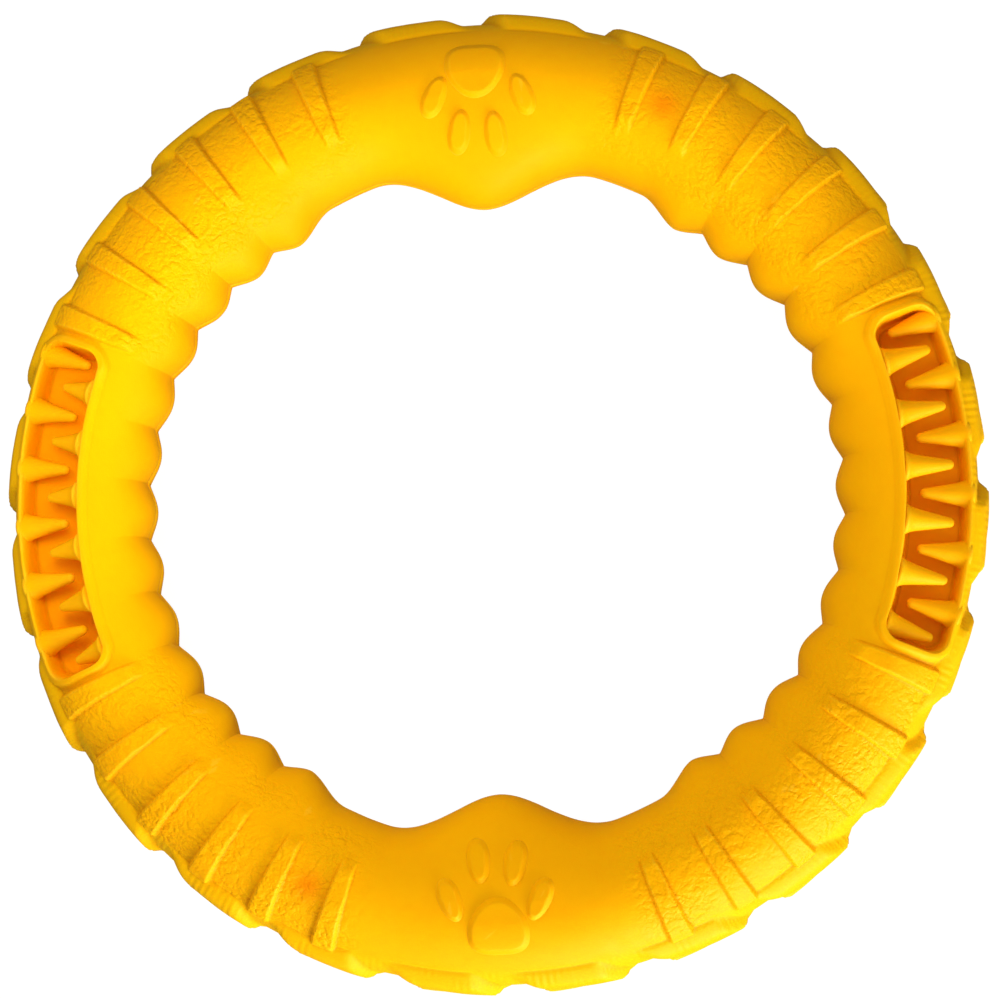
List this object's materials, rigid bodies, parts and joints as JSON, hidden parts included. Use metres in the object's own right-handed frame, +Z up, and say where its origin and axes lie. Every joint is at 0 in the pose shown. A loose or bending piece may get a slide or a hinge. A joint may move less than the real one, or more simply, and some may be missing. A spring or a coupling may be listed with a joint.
{
  "type": "rubber dog ring toy",
  "caption": "Moulded rubber chew-and-tug ring for a dog: hollow round tube with a scalloped grip, face ribs, paw prints, a lugged rim and toothed treat pockets on both faces.",
  "frame": {"origin": "centre of the ring on the plane that it lies on", "axes": "+Z up along the ring's axis through the front face; +X through the right pockets; +Y through the upper paw prints"},
  "size_m": [0.23, 0.23, 0.035],
  "materials": {
    "ring_rubber": "satin moulded rubber, bright yellow",
    "tooth_rubber": "satin moulded rubber, yellow-orange"
  },
  "bodies": {
    "root": {"front_shell": "ring_rubber", "rear_shell": "ring_rubber", "front_left_teeth": "tooth_rubber", "front_right_teeth": "tooth_rubber", "rear_left_teeth": "tooth_rubber", "rear_right_teeth": "tooth_rubber", "front_upper_paw": "ring_rubber", "front_lower_paw": "ring_rubber", "rear_upper_paw": "ring_rubber", "rear_lower_paw": "ring_rubber"}
  },
  "joints": []
}
